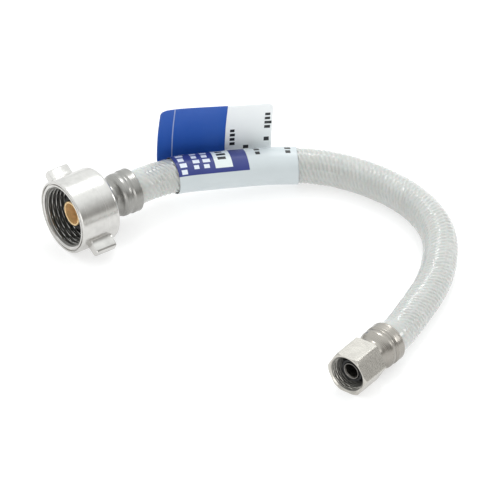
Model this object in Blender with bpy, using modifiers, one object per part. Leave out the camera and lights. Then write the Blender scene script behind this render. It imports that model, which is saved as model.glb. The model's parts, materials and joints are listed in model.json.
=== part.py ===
"""A short braided supply line, lying on a table: a winged ballcock nut at one end, a hex compression nut at
the other, and a three-layer hose crimped onto a barbed tail and a barbed stem between them.

World frame: metres, +Z up, table at z = 0. +X runs along the ballcock nut, from its mouth into the hose.
Turned profiles are lists of (radius, distance behind the nut's mouth) in millimetres, outer side first, from
the hose end to the mouth, and then the inner side back again.
"""

import math

import bmesh
import bpy
import numpy as np
from mathutils import Matrix, Vector

MM = 0.001

# Hose: three tubes with the gap that touching pieces keep.
HOSE_RADIUS = 6.75
JACKET_WALL = 0.85
BRAID_RADIUS = 5.6
BRAID_WALL = 0.4
TUBE_RADIUS = 4.9
TUBE_WALL = 0.9
BARB_RADIUS = 3.7
BARB_ROOT = 3.3
BORE_RADIUS = 2.7

# Ballcock nut, for a 15/16-14 shank: 28.8 mm across, with two wings to turn it by hand.
NUT_RADIUS = 14.4
NUT_LENGTH = 17.0
NUT_BORE = 11.5
NUT_LIP_HOLE = 6.5
NUT_LIP_START = 14.9
WING_TIP_RADIUS = 18.7
WING_ROOT_RADIUS = 13.0
WING_LENGTH = 9.1
WING_START = 3.9
WING_THICKNESS = 4.0
WING_ANGLE = 118.5
TAIL_RADIUS = 4.8
TAIL_BORE = 4.1
TAIL_NECK = 5.2
TAIL_RIM = 4.1

# Compression nut, for a 9/16-24 stop outlet: 15.9 mm across its flats.
HEX_ACROSS_FLATS = 15.9
HEX_LENGTH = 13.0
HEX_BORE = 6.9
HEX_LIP_HOLE = 4.9
HEX_LIP_START = 11.3
STEM_NECK = 4.3
STEM_NOSE = 3.3
STEM_RIM = 2.9

# Collars: cups crimped over the hose's ends. Their bores clear the hose by 0.3 mm.
COLLAR_BORE = 7.05
BALLCOCK_COLLAR_FRONT = 17.6
BALLCOCK_COLLAR_SEAT = 24.6
BALLCOCK_COLLAR_END = 31.5
STOP_COLLAR_FRONT = 14.5
STOP_COLLAR_SEAT = 19.4
STOP_COLLAR_END = 26.2

# Where the two mouths are, and which way each fitting points, from its mouth into the hose.
BALLCOCK_MOUTH = (-31.0, 64.1, 14.4)
BALLCOCK_TURN = 0.0
STOP_MOUTH = (4.0, -71.4, 8.15)
STOP_TURN = 19.0
BALLCOCK_HOSE_START = 24.9
STOP_HOSE_START = 19.7

# The free route between the two collars: it comes down to the table and turns back.
FREE_ROUTE = [
    (11.9, 64.9, 13.4),
    (21.0, 63.8, 12.8),
    (30.0, 61.2, 12.0),
    (39.2, 58.2, 11.1),
    (48.6, 55.1, 10.1),
    (57.6, 51.7, 9.1),
    (66.2, 47.5, 8.1),
    (73.2, 42.4, 7.3),
    (78.7, 35.9, 6.9),
    (83.0, 27.9, 6.8),
    (86.4, 18.2, 6.8),
    (88.3, 8.0, 6.8),
    (88.3, -2.2, 6.8),
    (86.2, -12.2, 6.8),
    (81.5, -22.2, 6.8),
    (74.4, -31.6, 6.8),
    (66.2, -39.9, 6.8),
    (57.4, -46.4, 6.8),
    (48.4, -52.0, 6.9),
    (40.2, -57.1, 7.2),
    (33.7, -60.7, 7.6),
]
ROUTE_SPACING = 9.0

# Label: one sheet that wraps the hose, its two ends stuck together behind it as a flag that stands up.
LABEL_RADIUS = 7.2
LABEL_THICKNESS = 0.2
LABEL_LAYER_GAP = 0.5
LABEL_WRAP = (26.2, 75.0)
LABEL_FLAG = (23.2, 67.3)
LABEL_STATIONS = 11
FLAG_SECTION = [(5.0, 25.4), (6.6, 19.8), (8.3, 13.0), (9.4, 5.4), (9.5, 1.0), (8.7, -0.9), (7.6, -1.5)]
WRAP_STEPS = 24
WRAP_TURN = (-10.0, 346.0)
WRAP_BLEND = 60.0


def start_scene():
    """An empty scene with one collection for the pieces and one for the cutters."""
    for old in list(bpy.data.objects):
        bpy.data.objects.remove(old, do_unlink=True)
    pieces = bpy.data.collections.new("braided_supply_line")
    cutters = bpy.data.collections.new("cutters")
    for group in (pieces, cutters):
        bpy.context.scene.collection.children.link(group)
    return pieces, cutters


def material(name, colour, roughness, metallic=0.0):
    made = bpy.data.materials.new(name)
    made.use_nodes = True
    shader = made.node_tree.nodes["Principled BSDF"]
    shader.inputs["Base Color"].default_value = (*colour, 1.0)
    shader.inputs["Roughness"].default_value = roughness
    shader.inputs["Metallic"].default_value = metallic
    return made


def axis_direction(turn):
    return Vector((math.cos(math.radians(turn)), math.sin(math.radians(turn)), 0.0))


def fitting_axis(name, mouth, turn, group):
    """An empty at a nut's mouth: its Z runs into the hose, its X is straight up."""
    along = axis_direction(turn)
    up = Vector((0.0, 0.0, 1.0))
    across = along.cross(up)
    empty = bpy.data.objects.new(name, None)
    empty.empty_display_size = 0.01
    turn_axes = Matrix((up, across, along)).transposed().to_4x4()
    empty.matrix_world = Matrix.Translation(Vector(mouth) * MM) @ turn_axes
    group.objects.link(empty)
    return empty


def turned(name, axis, profile, finish, group, steps=36):
    """A ring whose closed (radius, distance) profile is turned about the axis."""
    mesh = bpy.data.meshes.new(name)
    corners = [(radius * MM, 0.0, distance * MM) for radius, distance in profile]
    edges = [(i, (i + 1) % len(corners)) for i in range(len(corners))]
    mesh.from_pydata(corners, edges, [])
    piece = bpy.data.objects.new(name, mesh)
    piece.parent = axis
    group.objects.link(piece)
    mesh.materials.append(finish)
    screw = piece.modifiers.new("turn", "SCREW")
    screw.steps = steps
    screw.render_steps = steps
    screw.use_smooth_shade = False
    return piece


def cut_or_join(piece, other, operation):
    change = piece.modifiers.new(other.name, "BOOLEAN")
    change.operation = operation
    change.solver = "EXACT"
    change.object = other


def helper(name, mesh, axis, group):
    """A hidden object that only a Boolean uses."""
    made = bpy.data.objects.new(name, mesh)
    made.parent = axis
    made.hide_render = True
    made.display_type = "WIRE"
    group.objects.link(made)
    return made


def wing(name, axis, angle, group):
    """A block that stands out of the ballcock nut's wall, with bevelled edges."""
    mesh = bpy.data.meshes.new(name)
    shape = bmesh.new()
    bmesh.ops.create_cube(shape, size=1.0)
    height = WING_TIP_RADIUS - WING_ROOT_RADIUS
    bmesh.ops.scale(shape, vec=Vector((height, WING_THICKNESS, WING_LENGTH)) * MM, verts=shape.verts)
    middle = Vector((WING_ROOT_RADIUS + height / 2, 0.0, WING_START + WING_LENGTH / 2)) * MM
    bmesh.ops.translate(shape, vec=middle, verts=shape.verts)
    outer = [edge for edge in shape.edges if all(v.co.x > middle.x for v in edge.verts)]
    bmesh.ops.bevel(shape, geom=outer, offset=0.8 * MM, segments=1, affect="EDGES")
    bmesh.ops.rotate(shape, matrix=Matrix.Rotation(math.radians(angle), 3, "Z"), verts=shape.verts)
    shape.to_mesh(mesh)
    shape.free()
    return helper(name, mesh, axis, group)


def hexagon(name, axis, across_flats, length, group):
    """A prism longer than the nut, with one flat facing straight up and one straight down."""
    mesh = bpy.data.meshes.new(name)
    shape = bmesh.new()
    corner = across_flats / 2 / math.cos(math.pi / 6) * MM
    depth = 2 * length * MM
    bmesh.ops.create_cone(shape, cap_ends=True, segments=6, radius1=corner, radius2=corner, depth=depth)
    bmesh.ops.translate(shape, vec=(0.0, 0.0, length / 2 * MM), verts=shape.verts)
    shape.to_mesh(mesh)
    shape.free()
    return helper(name, mesh, axis, group)


def ballcock_nut(axis, finish, pieces, cutters):
    profile = [
        (13.2, NUT_LENGTH),
        (14.1, NUT_LENGTH - 0.4),
        (NUT_RADIUS, NUT_LENGTH - 1.2),
        (NUT_RADIUS, 0.7),
        (13.8, 0.0),
        (12.4, 0.0),
        (NUT_BORE, 0.9),
        (NUT_BORE, NUT_LIP_START),
        (NUT_LIP_HOLE, NUT_LIP_START),
        (NUT_LIP_HOLE, NUT_LENGTH),
    ]
    nut = turned("ballcock_nut", axis, profile, finish, pieces, steps=48)
    for number, angle in enumerate((WING_ANGLE, WING_ANGLE + 180.0), start=1):
        cut_or_join(nut, wing(f"wing_{number}", axis, angle, cutters), "UNION")


def compression_nut(axis, finish, pieces, cutters):
    profile = [
        (8.4, HEX_LENGTH),
        (9.4, HEX_LENGTH - 0.7),
        (9.4, 1.2),
        (8.3, 0.0),
        (7.6, 0.0),
        (HEX_BORE, 0.8),
        (HEX_BORE, HEX_LIP_START),
        (HEX_LIP_HOLE, HEX_LIP_START),
        (HEX_LIP_HOLE, HEX_LENGTH),
    ]
    nut = turned("compression_nut", axis, profile, finish, pieces, steps=48)
    cut_or_join(nut, hexagon("hexagon", axis, HEX_ACROSS_FLATS, HEX_LENGTH, cutters), "INTERSECT")


def barbs(tip, root, count):
    """The outer side of a barbed end, from its tip towards the fitting: ramps with a step behind each."""
    points = [(BARB_ROOT - 0.2, tip)]
    pitch = (tip - root) / (count + 0.5)
    for number in range(1, count + 1):
        edge = tip - number * pitch
        points += [(BARB_RADIUS, edge), (BARB_ROOT, edge - 0.1)]
    return points + [(BARB_ROOT, root)]


def inside_ballcock_nut(axis, brass, rubber, nylon, pieces):
    """Tail with its flange, the cone washer in front of the flange and the slip ring behind it."""
    tail = barbs(31.0, 24.5, 3) + [
        (TAIL_NECK, 24.5),
        (TAIL_NECK, 13.6),
        (10.0, 13.6),
        (10.0, 12.2),
        (TAIL_RADIUS, 12.2),
        (TAIL_RADIUS, TAIL_RIM + 0.3),
        (4.5, TAIL_RIM),
        (TAIL_BORE, TAIL_RIM),
        (TAIL_BORE, 18.0),
        (BORE_RADIUS, 20.0),
        (BORE_RADIUS, 31.0),
    ]
    turned("ballcock_tail", axis, tail, brass, pieces, steps=32)
    washer = [(10.8, 11.9), (10.8, 9.8), (6.6, 5.4), (5.1, 5.4), (5.1, 11.9)]
    turned("cone_washer", axis, washer, rubber, pieces)
    ring = [(9.6, 14.6), (9.6, 13.9), (5.6, 13.9), (5.6, 14.6)]
    turned("ballcock_slip_ring", axis, ring, nylon, pieces, steps=32)


def inside_compression_nut(axis, brass, rubber, nylon, pieces):
    """Stem with its head, the cone gasket in front of the head and the slip ring behind it."""
    stem = barbs(25.2, 19.3, 3) + [
        (STEM_NECK, 19.3),
        (STEM_NECK, 9.8),
        (6.3, 9.8),
        (6.3, 8.3),
        (STEM_NOSE, 8.3),
        (STEM_NOSE, STEM_RIM),
        (BORE_RADIUS, STEM_RIM),
        (BORE_RADIUS, 25.2),
    ]
    turned("compression_stem", axis, stem, brass, pieces, steps=32)
    gasket = [(6.3, 8.0), (6.3, 6.8), (4.6, 3.3), (3.6, 3.3), (3.6, 8.0)]
    turned("compression_gasket", axis, gasket, rubber, pieces)
    ring = [(6.1, 11.0), (6.1, 10.1), (4.7, 10.1), (4.7, 11.0)]
    turned("compression_slip_ring", axis, ring, nylon, pieces, steps=32)


def ballcock_collar(axis, finish, pieces):
    """A cup with one rolled groove, and a thin sleeve on the tail's neck that reaches into the nut."""
    neck_hole = TAIL_NECK + 0.3
    profile = [
        (8.2, BALLCOCK_COLLAR_END),
        (8.6, BALLCOCK_COLLAR_END - 0.4),
        (8.6, 28.5),
        (7.9, 27.9),
        (7.85, 27.4),
        (8.4, 25.8),
        (8.1, 24.8),
        (7.3, 23.5),
        (6.05, 21.6),
        (6.05, BALLCOCK_COLLAR_FRONT + 0.3),
        (5.8, BALLCOCK_COLLAR_FRONT),
        (neck_hole, BALLCOCK_COLLAR_FRONT),
        (neck_hole, BALLCOCK_COLLAR_SEAT),
        (COLLAR_BORE, BALLCOCK_COLLAR_SEAT),
        (COLLAR_BORE, BALLCOCK_COLLAR_END),
    ]
    turned("ballcock_collar", axis, profile, finish, pieces, steps=40)


def compression_collar(axis, finish, pieces):
    """The other cup, a little slimmer, with its groove nearer the middle."""
    neck_hole = STEM_NECK + 0.3
    profile = [
        (7.75, STOP_COLLAR_END),
        (8.1, STOP_COLLAR_END - 0.4),
        (8.1, 22.4),
        (7.5, 21.8),
        (7.45, 21.3),
        (8.0, 19.6),
        (7.6, 18.5),
        (6.8, 17.3),
        (6.1, 16.5),
        (6.1, STOP_COLLAR_FRONT),
        (neck_hole, STOP_COLLAR_FRONT),
        (neck_hole, STOP_COLLAR_SEAT),
        (COLLAR_BORE, STOP_COLLAR_SEAT),
        (COLLAR_BORE, STOP_COLLAR_END),
    ]
    turned("compression_collar", axis, profile, finish, pieces, steps=40)


def on_axis(mouth, turn, distance):
    return tuple(Vector(mouth) + axis_direction(turn) * distance)


def route_points():
    """The whole route, from inside the ballcock collar to inside the other collar."""
    first = (BALLCOCK_HOSE_START, 28.0, BALLCOCK_COLLAR_END)
    last = (STOP_COLLAR_END, 22.5, STOP_HOSE_START)
    start = [on_axis(BALLCOCK_MOUTH, BALLCOCK_TURN, distance) for distance in first]
    end = [on_axis(STOP_MOUTH, STOP_TURN, distance) for distance in last]
    return np.array(start + FREE_ROUTE + end)


def smooth_curve(points, first_slope, last_slope, per_span=24):
    """A cubic spline through the points, with the given directions at its two ends, sampled finely."""
    knots = np.concatenate([[0.0], np.cumsum(np.linalg.norm(np.diff(points, axis=0), axis=1))])
    span = np.diff(knots)[:, None]
    rise = np.diff(points, axis=0) / span
    count = len(points)
    system = np.eye(count)
    known = np.empty_like(points)
    known[0], known[-1] = first_slope, last_slope
    for i in range(1, count - 1):
        before, after = span[i - 1, 0], span[i, 0]
        system[i, i - 1 : i + 2] = after, 2 * (before + after), before
        known[i] = 3 * (after * rise[i - 1] + before * rise[i])
    slopes = np.linalg.solve(system, known)
    t = np.linspace(0.0, 1.0, per_span, endpoint=False)[:, None]
    curve = []
    for i in range(count - 1):
        a = points[i] * (1 + 2 * t) * (1 - t) ** 2 + slopes[i] * span[i] * t * (1 - t) ** 2
        b = points[i + 1] * t * t * (3 - 2 * t) + slopes[i + 1] * span[i] * t * t * (t - 1)
        curve.append(a + b)
    return np.vstack([*curve, points[-1:]])


def along_route(curve, distances):
    """Points of the curve at these distances from its start."""
    reach = np.concatenate([[0.0], np.cumsum(np.linalg.norm(np.diff(curve, axis=0), axis=1))])
    return np.stack([np.interp(distances, reach, curve[:, k]) for k in range(3)], axis=1), reach[-1]


def hose_layer(name, radius, wall, centres, finish, pieces):
    """One hollow layer of the hose: an open swept tube, given its wall inwards."""
    curve = bpy.data.curves.new(name, "CURVE")
    curve.dimensions = "3D"
    curve.bevel_depth = radius * MM
    curve.bevel_resolution = 4
    curve.use_fill_caps = False
    spline = curve.splines.new("POLY")
    spline.points.add(len(centres) - 1)
    for point, centre in zip(spline.points, centres):
        point.co = (*(centre * MM), 1.0)
    swept = bpy.data.objects.new(name + "_sweep", curve)
    pieces.objects.link(swept)
    bpy.context.view_layer.update()
    mesh = bpy.data.meshes.new_from_object(swept.evaluated_get(bpy.context.evaluated_depsgraph_get()))
    bpy.data.objects.remove(swept, do_unlink=True)
    mesh.name = name
    mesh.materials.clear()
    mesh.materials.append(finish)
    layer = bpy.data.objects.new(name, mesh)
    pieces.objects.link(layer)
    shell = layer.modifiers.new("wall", "SOLIDIFY")
    shell.thickness = wall * MM
    shell.offset = -1.0
    shell.use_even_offset = True


def label_section():
    """(away, up, share of the flag's shift) along the sheet.

    It runs down the near layer of the flag, round the hose, and up the far layer.
    """
    flag = np.array(FLAG_SECTION)
    run = np.gradient(flag, axis=0)
    side = np.stack([run[:, 1], -run[:, 0]], axis=1) / np.linalg.norm(run, axis=1)[:, None]
    near = flag + side * LABEL_LAYER_GAP / 2
    far = (flag - side * LABEL_LAYER_GAP / 2)[::-1]
    turns = np.linspace(*WRAP_TURN, WRAP_STEPS)
    from_root = np.minimum(turns - WRAP_TURN[0], WRAP_TURN[1] - turns)
    share = np.clip(1.0 - from_root / WRAP_BLEND, 0.0, 1.0)
    ring = LABEL_RADIUS * np.stack([np.cos(np.radians(turns)), np.sin(np.radians(turns))], axis=1)
    points = np.vstack([near, ring, far])
    return np.column_stack([points, np.concatenate([np.ones(len(near)), share, np.ones(len(far))])])


def label(curve, finish, pieces):
    """The sheet, carried along the hose: one row of points for each point of its section."""
    section = label_section()
    shape = bmesh.new()
    rows = []
    for away, up, share in section:
        ends = [flag * share + wrap * (1.0 - share) for flag, wrap in zip(LABEL_FLAG, LABEL_WRAP)]
        stations = np.linspace(*ends, LABEL_STATIONS)
        centres, _ = along_route(curve, stations)
        ahead, _ = along_route(curve, stations + 0.5)
        heading = ahead - centres
        heading[:, 2] = 0.0
        heading /= np.linalg.norm(heading, axis=1)[:, None]
        outward = np.stack([-heading[:, 1], heading[:, 0], np.zeros(len(heading))], axis=1)
        places = centres + outward * away + np.array([0.0, 0.0, up])
        rows.append([shape.verts.new(place * MM) for place in places])
    for row, following in zip(rows, rows[1:]):
        for i in range(LABEL_STATIONS - 1):
            shape.faces.new((row[i], row[i + 1], following[i + 1], following[i]))
    bmesh.ops.recalc_face_normals(shape, faces=shape.faces)
    mesh = bpy.data.meshes.new("label")
    shape.to_mesh(mesh)
    shape.free()
    mesh.materials.append(finish)
    sheet = bpy.data.objects.new("label", mesh)
    pieces.objects.link(sheet)
    thick = sheet.modifiers.new("thickness", "SOLIDIFY")
    thick.thickness = LABEL_THICKNESS * MM
    thick.offset = 0.0


def settle(piece):
    """Makes the piece's evaluated shape its mesh, and shades its round sides smooth."""
    mesh = bpy.data.meshes.new_from_object(piece.evaluated_get(bpy.context.evaluated_depsgraph_get()))
    piece.modifiers.clear()
    piece.data = mesh
    mesh.name = piece.name
    mesh.shade_smooth()
    mesh.set_sharp_from_angle(angle=math.radians(35.0))


def main():
    pieces, cutters = start_scene()
    nickel = material("satin_nickel", (0.72, 0.71, 0.68), 0.3, 1.0)
    steel = material("crimped_steel", (0.6, 0.59, 0.57), 0.35, 1.0)
    brass = material("brass", (0.74, 0.55, 0.28), 0.35, 1.0)
    rubber = material("black_rubber", (0.03, 0.03, 0.03), 0.7)
    nylon = material("white_nylon", (0.85, 0.84, 0.8), 0.5)
    inner = material("clear_tube", (0.8, 0.8, 0.78), 0.4)
    fibre = material("polyester_braid", (0.9, 0.9, 0.88), 0.6)
    vinyl = material("white_vinyl", (0.88, 0.89, 0.87), 0.3)
    sheet = material("label_sheet", (0.25, 0.4, 0.75), 0.5)

    ballcock = fitting_axis("ballcock_axis", BALLCOCK_MOUTH, BALLCOCK_TURN, pieces)
    stop = fitting_axis("stop_axis", STOP_MOUTH, STOP_TURN, pieces)
    ballcock_nut(ballcock, nickel, pieces, cutters)
    inside_ballcock_nut(ballcock, brass, rubber, nylon, pieces)
    ballcock_collar(ballcock, steel, pieces)
    compression_nut(stop, nickel, pieces, cutters)
    inside_compression_nut(stop, brass, rubber, nylon, pieces)
    compression_collar(stop, steel, pieces)

    first_slope = axis_direction(BALLCOCK_TURN)
    last_slope = -axis_direction(STOP_TURN)
    curve = smooth_curve(route_points(), first_slope, last_slope)
    _, length = along_route(curve, [0.0])
    centres, _ = along_route(curve, np.linspace(0.0, length, round(length / ROUTE_SPACING) + 1))
    hose_layer("hose_jacket", HOSE_RADIUS, JACKET_WALL, centres, vinyl, pieces)
    hose_layer("hose_braid", BRAID_RADIUS, BRAID_WALL, centres, fibre, pieces)
    hose_layer("hose_inner_tube", TUBE_RADIUS, TUBE_WALL, centres, inner, pieces)
    label(curve, sheet, pieces)
    bpy.context.view_layer.update()
    for piece in pieces.objects:
        if piece.type == "MESH":
            settle(piece)
    print(f"hose length {length:.1f} mm on {len(centres)} points")


main()
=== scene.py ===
"""The looks of a short braided supply line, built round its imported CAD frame.

Lengths are in millimetres until a mesh is made, and the frame is in metres. Each fitting has its own
local frame: origin at its nut's mouth, Z into the hose, X straight up. Turned pieces are lists of
(radius, distance behind the mouth, corner rounding), outer side first, from the hose end to the mouth.
Colours are linear red, green and blue, and a pair of them is mottled from one to the other.
"""

import json
import math

import bmesh
import bpy
import numpy as np
from mathutils import Matrix, Vector

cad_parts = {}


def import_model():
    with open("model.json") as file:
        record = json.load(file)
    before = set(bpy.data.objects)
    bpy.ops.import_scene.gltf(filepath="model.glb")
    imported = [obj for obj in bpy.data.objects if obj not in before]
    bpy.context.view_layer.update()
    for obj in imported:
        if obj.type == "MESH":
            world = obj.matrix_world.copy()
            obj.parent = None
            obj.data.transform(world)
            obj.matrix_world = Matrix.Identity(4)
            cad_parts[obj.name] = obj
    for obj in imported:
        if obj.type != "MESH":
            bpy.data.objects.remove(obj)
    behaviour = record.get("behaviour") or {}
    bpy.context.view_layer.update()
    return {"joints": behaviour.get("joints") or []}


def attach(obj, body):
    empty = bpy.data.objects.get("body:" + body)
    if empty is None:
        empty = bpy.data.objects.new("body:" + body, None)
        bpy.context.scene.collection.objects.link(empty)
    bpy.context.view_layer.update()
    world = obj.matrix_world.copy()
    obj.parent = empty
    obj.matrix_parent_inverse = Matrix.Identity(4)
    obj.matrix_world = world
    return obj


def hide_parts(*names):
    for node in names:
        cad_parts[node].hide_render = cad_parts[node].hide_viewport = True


# Metres in a millimetre, and how close in millimetres two radii count as the same.
MM = 0.001
SAME = 0.01
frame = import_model()

# View: long lens, 36 degrees above the table, the picture 187.5 mm wide at the object.
VIEW_AZIMUTH = -34.9
VIEW_ELEVATION = 36.0
VIEW_WIDTH = 187.5
VIEW_LENS = 1500.0
VIEW_TARGET = (22.6, 17.9, 4.6)
SENSOR = 36.0

# Hose, as in the CAD model.
HOSE_RADIUS = 6.75
JACKET_BORE = 5.87
TUBE_RADIUS = 4.9
TUBE_BORE = 4.0
HEADING_STEP = 0.4

# The braid's ridges in the jacket: RIDGES of them each way round, each going once round in RIDGE_LEAD.
RIDGES = 12
RIDGE_LEAD = 23.0
RIDGE_HEIGHT = 0.42
CROSS_HEIGHT = 0.16
RIDGE_SLIP = 0.22
JACKET_INSET = 0.05
SMOOTH_END = 8.0
HOSE_SIDES = 152
HOSE_RINGS = 820
HOSE_BORE_RINGS = 90

# The braid itself, flat yarns that weave in and out by BRAID_WEAVE.
BRAID_RADIUS = 5.38
BRAID_STRANDS = 10
BRAID_LEAD = 36.0
BRAID_WEAVE = 0.17
BRAID_RINGS = 420
YARN_HALF_WIDTH = 0.85
YARN_SECTION = [(-1.0, 0.06), (0.0, 0.1), (1.0, 0.06)]

# The hose's two ends, in the local frames of their fittings, and its free route between the collars.
BALLCOCK_HOSE_START = 24.9
BALLCOCK_HOSE_MIDDLE = 28.0
BALLCOCK_COLLAR_END = 31.5
STOP_COLLAR_END = 26.2
STOP_HOSE_MIDDLE = 22.5
STOP_HOSE_START = 19.7
FREE_ROUTE = [
    (11.9, 64.9, 13.4),
    (21.0, 63.8, 12.8),
    (30.0, 61.2, 12.0),
    (39.2, 58.2, 11.1),
    (48.6, 55.1, 10.1),
    (57.6, 51.7, 9.1),
    (66.2, 47.5, 8.1),
    (73.2, 42.4, 7.3),
    (78.7, 35.9, 6.9),
    (83.0, 27.9, 6.8),
    (86.4, 18.2, 6.8),
    (88.3, 8.0, 6.8),
    (88.3, -2.2, 6.8),
    (86.2, -12.2, 6.8),
    (81.5, -22.2, 6.8),
    (74.4, -31.6, 6.8),
    (66.2, -39.9, 6.8),
    (57.4, -46.4, 6.8),
    (48.4, -52.0, 6.9),
    (40.2, -57.1, 7.2),
    (33.7, -60.7, 7.6),
]

# Ballcock nut, 15/16-14 thread.
NUT_RADIUS = 14.4
NUT_LENGTH = 17.0
NUT_MINOR = 11.0
NUT_MOUTH = 12.35
NUT_THREAD_DEPTH = 1.0
NUT_PITCH = 1.814
NUT_THREAD_END = 12.6
WING_TIP = 19.0
WING_LENGTH = 9.1
WING_START = 3.9
WING_THICKNESS = 4.0
WING_FOOT = 14.0
WING_ANGLE = 118.5

# Compression nut, 9/16-24 thread.
HEX_ACROSS_FLATS = 15.9
HEX_LENGTH = 13.0
HEX_MINOR = 6.65
HEX_MOUTH = 7.6
HEX_THREAD_DEPTH = 0.55
HEX_PITCH = 1.058
HEX_THREAD_END = 10.4
# Depth in the hex nut's bore past which its whole thread gets painted shade.
HEX_PAINTED_SHADE_FROM = 3.0
HEX_EDGE = 0.22

# Both fittings: the flare of a threaded mouth, the barbs, and the marks of the crimping jaws.
THREAD_FLARE = 1.3
THREAD_FLANK = 3.4
THREAD_ROOT = 1.5
NUT_SHARP = 28.0
BARB_COUNT = 3
BARB_RADIUS = 3.7
BARB_FOOT = 3.3
JAWS = 8
JAW_DEPTH = 0.12
JAW_EDGE = 0.5
COLLAR_BORE = 7.05
STOP_COLLAR_FRONT = 14.5

# Metal colours.
NICKEL = (0.62, 0.61, 0.59)
CAST_NICKEL = (0.55, 0.53, 0.49)
STEM_NICKEL = (0.27, 0.26, 0.245)
STEEL = (0.33, 0.325, 0.31)
WARM_STEEL = (0.36, 0.34, 0.31)
BRASS = (0.93, 0.68, 0.38)
TARNISH = (0.70, 0.53, 0.27)
# Painted shade for the grooves of the nuts' threads and for their deep bores.
THREAD_PAINTED_SHADE = (0.15, 0.147, 0.137)

# Colours of the hose and of the pieces inside the fittings.
RUBBER_BLACK = (0.012, 0.012, 0.013)
NYLON_WHITE = ((0.82, 0.81, 0.77), (0.9, 0.89, 0.86))
JACKET_WHITE = ((0.47, 0.48, 0.465), (0.53, 0.545, 0.53))
JACKET_GROOVE = (0.425, 0.435, 0.415)
YARN_WHITE = ((0.78, 0.78, 0.75), (0.92, 0.92, 0.9))
TUBE_WHITE = ((0.7, 0.7, 0.68), (0.8, 0.8, 0.78))

# Label: one sheet, wrapped round the hose and stuck to itself as a flag. The flag's section runs from
# its top edge to the hose, as (distance beside the hose, height above its axis). The wrap turns between
# two angles in degrees, and the two places along the hose are those of the wrap and of the flag.
LABEL_RADIUS = 7.1
LABEL_THICKNESS = 0.12
LABEL_LAYER_GAP = 0.2
LABEL_WRAP = (25.7, 74.5)
LABEL_FLAG = (23.8, 66.6)
FLAG_SECTION = [(5.0, 25.4), (6.6, 19.8), (8.3, 13.0), (9.4, 5.4), (9.5, 1.0), (8.7, -0.9), (7.5, -1.5)]
WRAP_TURN = (-10.0, 346.0)
WRAP_BLEND = 60.0
FLAG_CORNER = 2.2
FLAG_LEAN = 1.2
FLAG_LIFT = 0.6
FLAG_TWIST = 30.0
FLAG_HEIGHT = 28.0
SHEET_HEIGHT = 101.0
LABEL_COLUMNS = 110

# Its print, in boxes of (along the hose from, to, down the sheet from, to), and rows of bars, whose
# fifth number is the pitch of their bars.
BLUE_FIELDS = [(-1.0, 25.4, -1.0, 31.0), (-1.0, 28.8, 31.0, 48.8), (-1.0, 25.4, 76.0, 120.0)]
PANEL = (15.6, 22.4, 31.0, 47.0)
RULE = (4.9, 5.3, -1.0, 31.0)
PALE_BARS = [
    (1.6, 4.9, 24.3, 48.6, 2.7),
    (7.2, 9.9, 23.5, 47.0, 2.35),
    (11.2, 14.1, 30.55, 47.0, 2.35),
]
DARK_BARS = [
    (17.2, 20.8, 36.0, 44.0, 2.0),
    (27.2, 29.6, 13.2, 22.0, 2.2),
    (40.0, 42.6, 4.8, 14.4, 2.4),
    (40.0, 42.6, 18.0, 21.0, 3.0),
    (32.4, 34.8, 21.6, 43.2, 2.4),
    (44.2, 46.8, 33.6, 43.2, 2.4),
    (28.0, 30.2, 81.4, 96.8, 2.2),
    (34.0, 36.2, 83.6, 96.8, 2.2),
]
# Painted light and shade in the two whites: the flag's is lifted against its own shade, the wrap's is
# lowered.
FLAG_WHITE_WITH_PAINTED_LIGHT = (0.93, 0.96, 0.97)
WRAP_WHITE_WITH_PAINTED_SHADE = ((0.54, 0.59, 0.61), (0.60, 0.65, 0.67))
FLAG_BLUE = ((0.018, 0.092, 0.43), (0.024, 0.107, 0.47))
WRAP_BLUE = ((0.018, 0.032, 0.17), (0.038, 0.05, 0.24))
RULE_COLOUR = (0.7, 0.75, 0.85)
PALE_BAR_COLOUR = (0.72, 0.77, 0.84)
PANEL_COLOUR = (0.74, 0.80, 0.79)
DARK_BAR_COLOUR = (0.012, 0.013, 0.014)

# Stage: a table that glows a little, a room that brightens along ROOM_LEAN, a pale panel low in front,
# and three lamps as (name, place in metres, disk size in metres, power in watts), aimed at one point.
FLOOR_GREY = 0.50
FLOOR_GLOW = 0.56
ROOM_LEAN = (0.14, 0.40, 0.905)
ROOM_RISE = (-0.10, 0.75)
ROOM_GREY = (0.39, 0.385, 0.37)
ROOM_WHITE = (1.28, 1.31, 1.31)
FRONT_PANEL = (1.0, 1.0, 0.98)
FRONT_PANEL_TOP = (0.10, 0.19)
FRONT_PANEL_SIDE = (-0.78, -0.62)
LAMP_AIM = (0.02, 0.0, 0.0)
LAMPS = [
    ("key", (0.38, 0.33, 0.93), 0.36, 2.4),
    ("front", (-0.70, -0.85, 0.35), 0.6, 2.0),
    ("side", (0.90, -0.33, 0.33), 0.26, 0.8),
]


# ---------------------------------------------------------------- places


def joint_axis(name):
    """(point in mm, direction) of a joint of the frame."""
    joint = next(j for j in frame["joints"] if j["name"] == name)
    return Vector(joint["pos_m"]) / MM, Vector(joint["axis"]).normalized()


def local_frame(mouth, along):
    """Matrix in millimetres from a fitting's local frame to the row frame."""
    up = Vector((0.0, 0.0, 1.0))
    across = along.cross(up)
    return Matrix.Translation(mouth) @ Matrix((up, across, along)).transposed().to_4x4()


BALLCOCK_MOUTH, BALLCOCK_ALONG = joint_axis("ballcock_nut_turn")
STOP_MOUTH, STOP_ALONG = joint_axis("compression_nut_turn")
BALLCOCK = local_frame(BALLCOCK_MOUTH, BALLCOCK_ALONG)
STOP = local_frame(STOP_MOUTH, STOP_ALONG)


# ---------------------------------------------------------------- curves


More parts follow.
